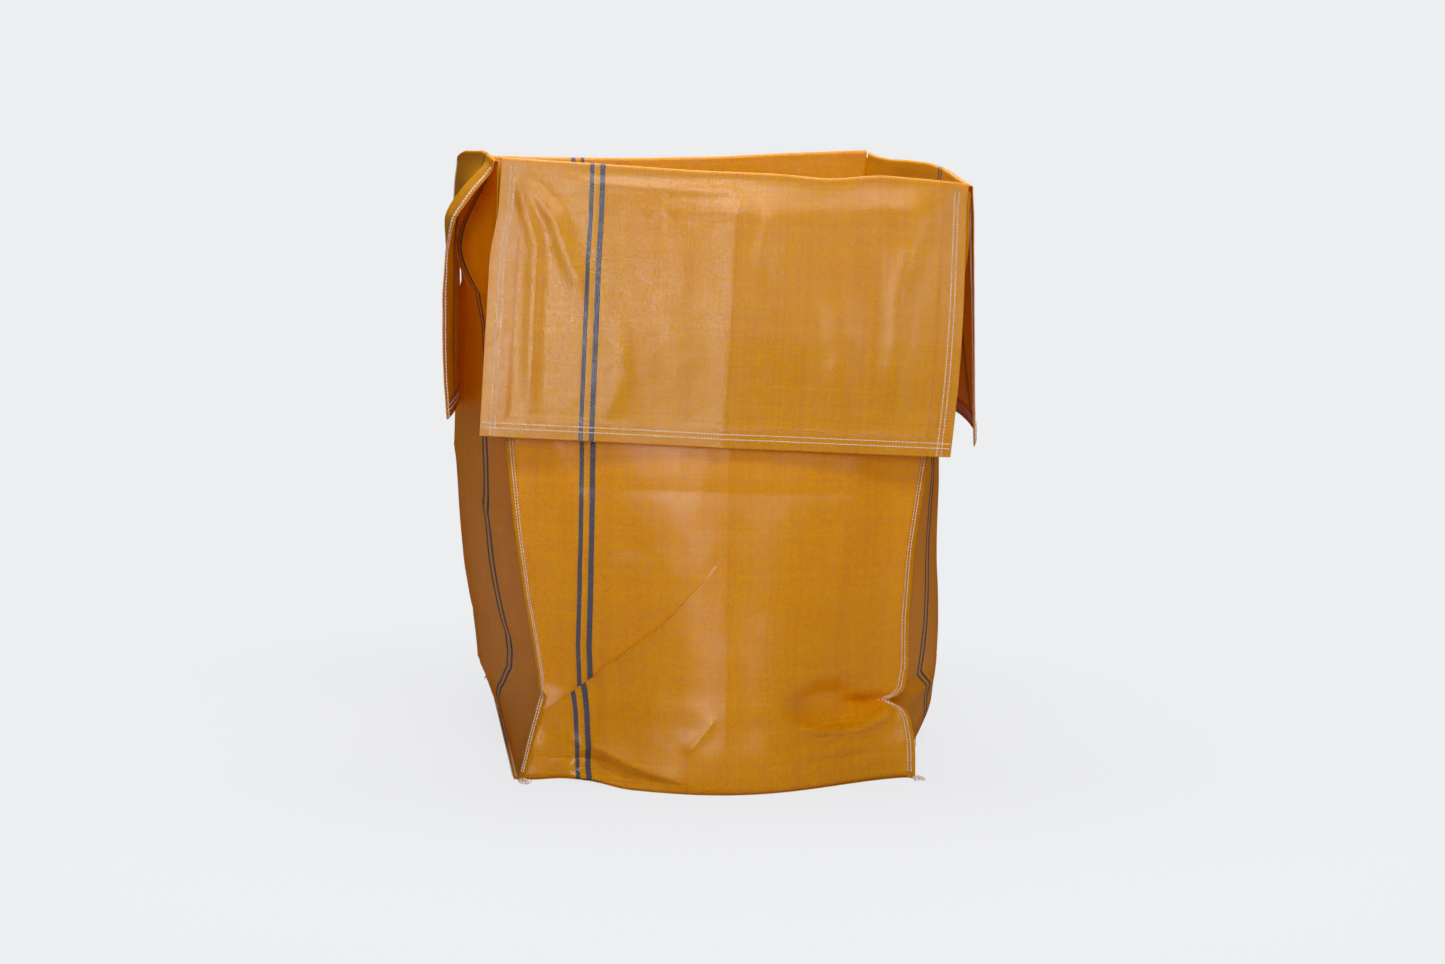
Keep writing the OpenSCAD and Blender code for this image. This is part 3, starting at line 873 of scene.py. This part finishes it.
def tape_height(n, across, along_it):
    """Height of a flat tape that dips at both ends of a crossing, from shares across and along it."""
    edge = n.math("ABSOLUTE", n.math("MULTIPLY_ADD", across, 2.0, -1.0))
    flat = n.math("SUBTRACT", 1.0, n.math("POWER", edge, 3.0))
    return n.math("MULTIPLY", flat, n.math("SINE", n.math("MULTIPLY", along_it, math.pi)))


def hem_colour(n, orange):
    """Colour of a flap's cloth with its doubled hem and the cut edge that shows through."""
    hem = n.add("ShaderNodeAttribute", attribute_name="hem").outputs["Fac"]
    doubled = n.math("SUBTRACT", 1.0, n.ramp(hem, 0.97, 1.03))
    orange = n.mix(n.math("MULTIPLY", doubled, 0.3), orange, HEM_ORANGE)
    from_edge = n.math("ABSOLUTE", n.math("SUBTRACT", hem, 1.0))
    cut_edge = n.math("SUBTRACT", 1.0, n.ramp(from_edge, 0.0, 0.045))
    return n.mix(n.math("MULTIPLY", cut_edge, 0.4), orange, CUT_EDGE)


def woven_cloth(name, base, deep, flap=False):
    """Coated plain weave of flat tapes with a double blue stripe, painted shade in its grooves and painted
    glint and shade on its crossings, from the cloth coordinates in metres.
    """
    n = Nodes(bpy.data.materials.new(name))
    uv = n.add("ShaderNodeUVMap", uv_map="cloth").outputs[0]
    u, v = n.parts(uv)
    warp = n.math("DIVIDE", u, TAPE)
    weft = n.math("DIVIDE", v, TAPE)
    warp_no = n.math("FLOOR", warp)
    weft_no = n.math("FLOOR", weft)
    warp_in = n.math("SUBTRACT", warp, warp_no)
    weft_in = n.math("SUBTRACT", weft, weft_no)
    over = n.math("PINGPONG", n.math("ADD", warp_no, weft_no), 1.0)
    under = n.math("SUBTRACT", 1.0, over)
    warp_height = n.math("MULTIPLY", over, tape_height(n, warp_in, weft_in))
    weft_height = n.math("MULTIPLY", under, tape_height(n, weft_in, warp_in))
    height = n.math("ADD", warp_height, weft_height)

    tape_shade = n.random(n.vector(n.math("MULTIPLY", warp_no, over), n.math("MULTIPLY", weft_no, under)))
    streaks = n.vector(n.math("MULTIPLY", u, 60.0), n.math("MULTIPLY", v, 2.2))
    streak = n.ramp(n.noise(streaks, 1.0, 3.0), 0.35, 0.7)
    patches = n.noise(uv, 9.0, 3.0)
    grain = n.random(n.vector(warp_no, weft_no))
    # Tone of the cloth: random per tape, streak, patch and crossing, with painted glint and shade: cells
    # where the weft lies on top are painted deeper than those where the warp lies on top
    weave_tone_and_glint = n.math("ADD", n.math("MULTIPLY", tape_shade, 0.5), n.math("MULTIPLY", streak, 0.15))
    for part, share, shift in ((patches, 0.35, -0.35), (over, -0.75, 0.75), (grain, 0.5, -0.25)):
        weave_tone_and_glint = n.math("ADD", weave_tone_and_glint, n.math("MULTIPLY_ADD", part, share, shift))
    orange = n.mix(weave_tone_and_glint, base, deep)
    if flap:
        orange = hem_colour(n, orange)
    bands = []
    for low, high in STRIPES:
        bands.append(n.math("MULTIPLY", n.math("GREATER_THAN", u, low), n.math("LESS_THAN", u, high)))
    in_stripe = n.math("ADD", *bands)
    shown = n.mix(in_stripe, orange, n.mix(over, BLUE_UNDER, BLUE))
    # Painted shade: the colour darkens towards the groove colour where the tapes dip at their crossings
    shown = n.mix(n.math("MULTIPLY_ADD", n.ramp(height, 0.0, 0.45), -0.28, 0.28), shown, PAINTED_GROOVE_SHADE)

    facing = n.add("ShaderNodeLayerWeight").outputs["Facing"]
    gloss = n.noise(uv, 26.0, 4.0)
    rough = n.math("MULTIPLY_ADD", gloss, 0.14, n.math("MULTIPLY_ADD", grain, 0.12, 0.09))
    shine = n.math("MULTIPLY_ADD", over, 0.7, 0.3)
    shine = n.math("MULTIPLY", shine, n.math("MULTIPLY_ADD", grain, 1.5, 0.25))
    kept = n.math("MULTIPLY_ADD", n.ramp(facing, 0.5, 0.9), -0.85, 1.0)
    shader = n.named("ShaderNodeBsdfPrincipled", {
        "Base Color": shown,
        "Roughness": n.math("MULTIPLY_ADD", n.math("POWER", facing, 3.0), 0.5, rough),
        "Specular IOR Level": n.math("MULTIPLY", shine, kept),
        "Normal": n.bump(WEAVE_BUMP, WEAVE_DEPTH, height),
    })
    glow = n.node("ShaderNodeBsdfTranslucent", n.mix(in_stripe, GLOW_ORANGE, BLUE))
    return n.surface(n.shaders(LIGHT_PASSED, shader, glow))


def thread_material():
    """Spun white sewing thread."""
    n = Nodes(bpy.data.materials.new("thread"))
    fuzz = n.noise(n.add("ShaderNodeTexCoord").outputs["Object"], 900.0, 3.0)
    return n.surface(n.named("ShaderNodeBsdfPrincipled", {
        "Base Color": n.mix(fuzz, THREAD_WHITE, THREAD_SHADE),
        "Roughness": n.math("MULTIPLY_ADD", fuzz, 0.2, 0.5),
        "Normal": n.bump(0.5, 0.2 * MM, fuzz),
    }))


PANEL_CLOTH = woven_cloth("panel_cloth", ORANGE, DEEP_ORANGE)
FLAP_CLOTH = woven_cloth("flap_cloth", ORANGE, DEEP_ORANGE, flap=True)
HEM_CLOTH = woven_cloth("hem_cloth", HEM_ORANGE, DEEP_ORANGE)
THREAD = thread_material()

# Body of the bag

PANEL_COLUMNS = (190, 120, 120, 120)
PANEL_ROWS = (240, 160, 160, 160)
BASE_RIPPLE = 1.2 * MM


def finish_piece(obj, slot, *nodes):
    """Hides the CAD nodes that a piece stands for; the slot argument is not used."""
    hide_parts(*nodes)
    return obj


for side, name in enumerate(SIDES):
    grid, uv = panel_grid(side, PANEL_COLUMNS[side], PANEL_ROWS[side])
    panel = sheet(f"{name}_panel_cloth", grid, uv, PANEL_CLOTH)
    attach(panel, "bag")
    finish_piece(panel, "cloth", f"{name}_panel")


def panel_foot(side, t):
    """Points of a panel's foot at shares across."""
    return panel_points(side, t[None, :], np.zeros((1, len(t))))[0][0]


def base_grid(steps=48):
    """Flat grid between the feet of the four panels, out to the sewn edge at both sides."""
    t = np.linspace(0, 1, steps)
    reach = ALLOWANCE - FLOOR_BEND[1]
    front = panel_foot(0, t)
    right = panel_foot(1, t) + reach * outward(1)
    back = panel_foot(2, t)[::-1]
    left = panel_foot(3, t)[::-1] + reach * outward(3)
    u, w = np.meshgrid(t, t)
    u = u[..., None]
    w = w[..., None]
    sides = (1 - u) * left[:, None] + u * right[:, None]
    ends = (1 - w) * front[None] + w * back[None]
    corners = ((1 - u) * (1 - w) * (left[0] + front[0]) / 2 + u * (1 - w) * (right[0] + front[-1]) / 2
               + u * w * (right[-1] + back[-1]) / 2 + (1 - u) * w * (left[-1] + back[0]) / 2)
    grid = sides + ends - corners
    inner = smooth(np.minimum(u, 1 - u) / 0.15) * smooth(np.minimum(w, 1 - w) / 0.15)
    lift = inner[..., 0] * BASE_RIPPLE * (1 + ripples(grid[..., 0], grid[..., 1], 91, 0.12))
    arch = FOOT_LIFT * foot_arch(grid[..., 0]) * smooth(1 - w[..., 0] / 0.3)
    grid[..., 2] = CLOTH / 2 + np.maximum(lift, 0) + arch
    return grid


grid = base_grid()
uv = np.stack([grid[..., 0] - STRIPE_PATH[0][0][1], grid[..., 1]], -1)
base = sheet("base_cloth", grid, uv, PANEL_CLOTH)
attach(base, "bag")
finish_piece(base, "cloth", "base_panel")

# Flaps with their hems and sewing

FLAP_COLUMNS = 120
FLAP_ROWS = 100
HEM_TURN_STEPS = 7


def hem_layer(name, side, x, share, facing=1, across_rows=False):
    """Layer turned under a flap's edge, from a grid that starts at the edge and runs inwards."""
    points = flap_points(side, x, share)
    normals = facing * grid_normals(points)
    uv = np.stack([x - STRIPE_PATH[side][-1][1], -share * FLAP_DROP], -1)
    if across_rows:
        points, normals, uv = (a.swapaxes(0, 1) for a in (points, normals, uv))
    turns = np.linspace(0.15, math.pi, HEM_TURN_STEPS)[None, :, None]
    edge = points[:, :1]
    inward = unit(points[:, 1:2] - edge)
    fold = edge - HEM_DROP / 2 * normals[:, :1] * (1 - np.cos(turns)) - HEM_DROP / 2 * inward * np.sin(turns)
    grid = np.concatenate([fold, points[:, 1:] - HEM_DROP * normals[:, 1:]], 1)
    uv = np.concatenate([np.repeat(uv[:, :1], HEM_TURN_STEPS, 1), uv[:, 1:]], 1)
    if across_rows:
        grid, uv = (a.swapaxes(0, 1) for a in (grid, uv))
    return sheet(name, grid, uv, HEM_CLOTH, half=HEM_HALF_CLOTH)


def flap_surface(side, x, share, away):
    """Path and normals on a flap's outer or inner face, at arrays of distances and shares."""
    step = 0.5 * MM
    points = flap_points(side, x, share)
    du = flap_points(side, x + step, share) - flap_points(side, x - step, share)
    higher = flap_points(side, x, np.maximum(share - 0.002, 0))
    lower = flap_points(side, x, np.minimum(share + 0.002, 1))
    normals = unit(np.cross(du, higher - lower))
    return points + away * normals, normals


def sewn_row(side, x, share):
    """The two rows of stitches that one line of sewing leaves, on a flap's outer face and under its hem."""
    path, normals = flap_surface(side, x, share, -UNDER_HEM)
    return [flap_surface(side, x, share, CLOTH / 2), (path, -normals)]


for side, name in enumerate(SIDES):
    grid, uv, hem = flap_grid(side, FLAP_COLUMNS, FLAP_ROWS)
    flap = sheet(f"{name}_flap_cloth", grid, uv, FLAP_CLOTH, hem=hem)
    finish_piece(flap, "cloth", f"{name}_flap", f"{name}_rim_fold")
    half = FLAP_HALF[side]
    body = f"flap_{name}"

    pieces = []
    for end in (-1, 1):
        x, share = np.meshgrid(end * (half - np.linspace(0, SIDE_HEM, 9)), np.linspace(1, 0.012, 90))
        pieces.append(hem_layer(f"{name}_hem_{end}", side, x, share, facing=-end))
    side_hems = join(f"{name}_flap_side_hems_cloth", pieces)
    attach(side_hems, body)
    finish_piece(side_hems, "hem_cloth", f"{name}_flap_side_hems")

    between = half - SIDE_HEM - 0.3 * MM
    x, share = np.meshgrid(np.linspace(-1, 1, 90) * between, 1 - np.linspace(0, END_HEM, 8) / FLAP_DROP)
    end_hem = hem_layer(f"{name}_flap_end_hem_cloth", side, x, share, across_rows=True)
    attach(end_hem, body)
    finish_piece(end_hem, "hem_cloth", f"{name}_flap_end_hem")

    rows = []
    share = np.linspace(0.02, 0.998, 160)
    for inset in SIDE_STITCH:
        for end in (-1, 1):
            rows += sewn_row(side, np.full_like(share, end * (half - inset)), share)
    x = np.linspace(-1, 1, 260) * (half - 1.5 * MM)
    for inset in END_STITCH:
        rows += sewn_row(side, x, np.full_like(x, 1 - inset / FLAP_DROP))
    sewing = stitching(f"{name}_flap_stitches", rows, THREAD)
    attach(sewing, body)
    finish_piece(sewing, "thread", f"{name}_flap_stitching")

    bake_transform(flap)

# Corner and base seams

SEAM_LEVELS = np.linspace(0.012, 0.93, 300)
BASE_SHARES = np.linspace(0.02, 0.98, 200)

for corner, name in enumerate(CORNERS):
    rows = []
    for side, edge in ((corner, 0.0), ((corner + 3) % 4, 1.0)):
        root = panel_points(side, np.full((len(SEAM_LEVELS), 1), edge), SEAM_LEVELS[:, None])[0][:, 0]
        fin = fin_direction(corner, root[:, 2])
        across = np.cross(UP, fin)
        face = across * np.sign((across * seam_side(corner, side)).sum(-1, keepdims=True))
        for inset in SEAM_STITCH:
            rows.append((root + inset * fin + CLOTH / 2 * face, face))
    sewing = stitching(f"{name}_seam_stitches", rows, THREAD)
    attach(sewing, "bag")
    finish_piece(sewing, "thread", f"{name}_seam_stitching")

for side in (1, 3):
    foot = panel_foot(side, BASE_SHARES)
    up = np.tile(UP, (len(foot), 1))
    rows = [(foot + (inset - FLOOR_BEND[side]) * outward(side) + CLOTH / 2 * up, up) for inset in SEAM_STITCH]
    sewing = stitching(f"{SIDES[side]}_base_stitches", rows, THREAD)
    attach(sewing, "bag")
    finish_piece(sewing, "thread", f"{SIDES[side]}_base_stitching")

# Loose thread ends

TUFT_TURN = (50, 0, 0, -57)
TUFT_STRANDS = 15
TUFT_RADIUS = 0.6 * MM
TUFT_SIDES = 6
TUFT_HEIGHT = 2 * MM


def tube(points, radius):
    """Points and faces of a thread along a route."""
    ahead = unit(np.gradient(points, axis=0))
    across = unit(np.cross(ahead, np.array([0.13, 0.07, 1.0])))
    up = np.cross(across, ahead)
    angles = np.linspace(0, 2 * math.pi, TUFT_SIDES, endpoint=False)[None, :, None]
    rings = points[:, None] + radius * (np.cos(angles) * across[:, None] + np.sin(angles) * up[:, None])
    return rings.reshape(-1, 3), tube_faces(len(points), TUFT_SIDES)


def thread_tufts():
    """Loose curled thread ends at the four bottom corners."""
    strands = []
    t = np.linspace(0, 1, 26)
    for corner in range(4):
        z = np.array(TUFT_HEIGHT)
        start = seam(corner, z) + (ALLOWANCE - 3 * MM) * fin_direction(corner, z)
        heading = math.radians(45 + 90 * (corner + 2) + TUFT_TURN[corner])
        d = np.array([math.cos(heading), math.sin(heading), 0])
        across = np.cross(d, UP)
        rng = np.random.default_rng(5 + corner)
        for _ in range(TUFT_STRANDS):
            reach, sway, turns, phase = rng.uniform((5, -9, 0.6, 0), (20, 9, 2.2, 6.28))
            coil = rng.uniform(1.5, 4.5) * MM * t
            angle = 2 * math.pi * turns * t + phase
            route = (start + np.outer(t * reach * MM, d) + np.outer(np.sin(2.4 * t) * sway * MM, across)
                     + np.outer(coil * np.cos(angle), across) + np.outer(coil * np.sin(angle), d))
            height = (4 - 3 * t) + 4 * t * (1 - t) * (2 + np.sin(9 * t + phase))
            route[:, 2] = np.maximum(TUFT_RADIUS, height * MM)
            strands.append(tube(route, TUFT_RADIUS))
    return new_object("thread_tufts", *gathered(strands), THREAD)


tufts = thread_tufts()
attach(tufts, "bag")
finish_piece(tufts, "thread", "thread_tails")

# Camera at the photograph's place

IMAGE_WIDTH = 1445
FOCAL_PIXELS = 2810
SENSOR = 36.0
AZIMUTH, ELEVATION, ROLL = (-10, 8.6, 2.3)
DISTANCE = 4.4
AIM = (0.055, 0.392)


def seen_from(azimuth, elevation):
    """Direction from the bag to a place around it, at degrees round from the front and up."""
    a = math.radians(azimuth)
    e = math.radians(elevation)
    return Vector((math.sin(a) * math.cos(e), -math.cos(a) * math.cos(e), math.sin(e)))


def make_camera():
    """Camera with the photograph's place, tilt and angle of view."""
    back = seen_from(AZIMUTH, ELEVATION)
    right = seen_from(AZIMUTH + 90, 0)
    up = back.cross(right)
    eye = right * AIM[0] + Vector((0, 0, AIM[1])) + back * DISTANCE
    roll = math.radians(ROLL)
    x = math.cos(roll) * right + math.sin(roll) * up
    y = math.cos(roll) * up - math.sin(roll) * right
    data = bpy.data.cameras.new("camera")
    data.sensor_width = SENSOR
    data.lens = FOCAL_PIXELS * SENSOR / IMAGE_WIDTH
    camera = bpy.data.objects.new("camera", data)
    camera.matrix_world = Matrix((
        (x.x, y.x, back.x, eye.x), (x.y, y.y, back.y, eye.y), (x.z, y.z, back.z, eye.z), (0, 0, 0, 1)))
    bpy.context.scene.collection.objects.link(camera)
    bpy.context.scene.camera = camera


make_camera()

# Floor, light and background

BACKGROUND = colour(237, 238, 240)
FLOOR_GREY = colour(150, 151, 153)
FLOOR_SIZE = 30.0
FLOOR_GLOW = 0.75
FLOOR_GLOW_STRENGTH = 1.2
AMBIENT_TINT = (0.95, 0.975, 1.0, 1)
AMBIENT_FRONT = 0.14
AMBIENT_BACK = 0.09
SIDE_LOSS = 0.7
MIRRORED = 0.07
LAMP_AIM = Vector((0, 0, 0.5))
# Lamps: name, degrees round and up, distance, width and height in metres, watts
LAMPS = (
    ("window", -24, 15, 3.6, 0.6, 0.9, 15),
    ("glare", -7, 10, 3.6, 0.8, 0.7, 26),
    ("high", 6, 38, 3.4, 1.4, 0.6, 34),
    ("right", 29, 11, 3.6, 0.4, 0.7, 11),
    ("back_fill", 172, 34, 3.4, 2.4, 1.8, 50),
    ("overhead", -90, 79, 1.9, 0.9, 0.9, 28),
    ("overhead_right", 90, 77, 1.9, 0.6, 0.9, 13),
)


def background_share(n):
    """Share of the plain background that a ray sees: all for the camera, and part in the cloth's gloss."""
    path = n.add("ShaderNodeLightPath")
    share = path.outputs["Is Camera Ray"]
    for ray in ("Is Glossy Ray", "Is Transmission Ray"):
        share = n.math("MAXIMUM", share, n.math("MULTIPLY", path.outputs[ray], MIRRORED))
    return share


def make_floor():
    """Pale floor that takes the bag's shadow and runs out into the background."""
    n = Nodes(bpy.data.materials.new("floor"))
    place = n.add("ShaderNodeTexCoord").outputs["Object"]
    length = n.node("ShaderNodeVectorMath", place, operation="LENGTH")
    far = n.ramp(length.outputs["Value"], 0.6, 1.7)
    glow_share = n.math("MULTIPLY_ADD", far, 1 - FLOOR_GLOW, FLOOR_GLOW)
    strength = n.math("MULTIPLY_ADD", far, 1 - FLOOR_GLOW_STRENGTH, FLOOR_GLOW_STRENGTH)
    matte = n.node("ShaderNodeBsdfDiffuse", FLOOR_GREY)
    glow = n.node("ShaderNodeEmission", BACKGROUND, strength)
    material = n.surface(n.shaders(n.math("MULTIPLY", background_share(n), glow_share), matte, glow))
    size = FLOOR_SIZE
    corners = [(-size, -size, 0), (size, -size, 0), (size, size, 0), (-size, size, 0)]
    floor = new_object("floor", corners, [(0, 1, 2, 3)], material)
    floor.location.z = -0.2 * MM


def make_world():
    """Soft light that is stronger from the front, with the plain background for what the camera sees."""
    n = Nodes(bpy.data.worlds.new("studio"))
    x, y = n.parts(n.add("ShaderNodeTexCoord").outputs["Generated"])
    strength = n.ramp(y, -0.6, 0.6, AMBIENT_FRONT, AMBIENT_BACK)
    kept = n.math("MULTIPLY_ADD", n.math("ABSOLUTE", x), -SIDE_LOSS, 1.0)
    light = n.node("ShaderNodeBackground", AMBIENT_TINT, n.math("MULTIPLY", strength, kept))
    plain = n.node("ShaderNodeBackground", BACKGROUND)
    bpy.context.scene.world = n.surface(n.shaders(background_share(n), light, plain))


def softbox(name, azimuth, elevation, distance, width, height, watts):
    """Large area lamp that faces the middle of the bag."""
    back = seen_from(azimuth, elevation)
    data = bpy.data.lights.new(name, "AREA")
    data.shape = "RECTANGLE"
    data.size = width
    data.size_y = height
    data.energy = watts
    lamp = bpy.data.objects.new(name, data)
    lamp.location = back * distance + LAMP_AIM
    lamp.rotation_euler = back.to_track_quat("Z", "Y").to_euler()
    bpy.context.scene.collection.objects.link(lamp)


make_floor()
make_world()
for lamp in LAMPS:
    softbox(*lamp)
bpy.context.scene.view_settings.view_transform = "Standard"
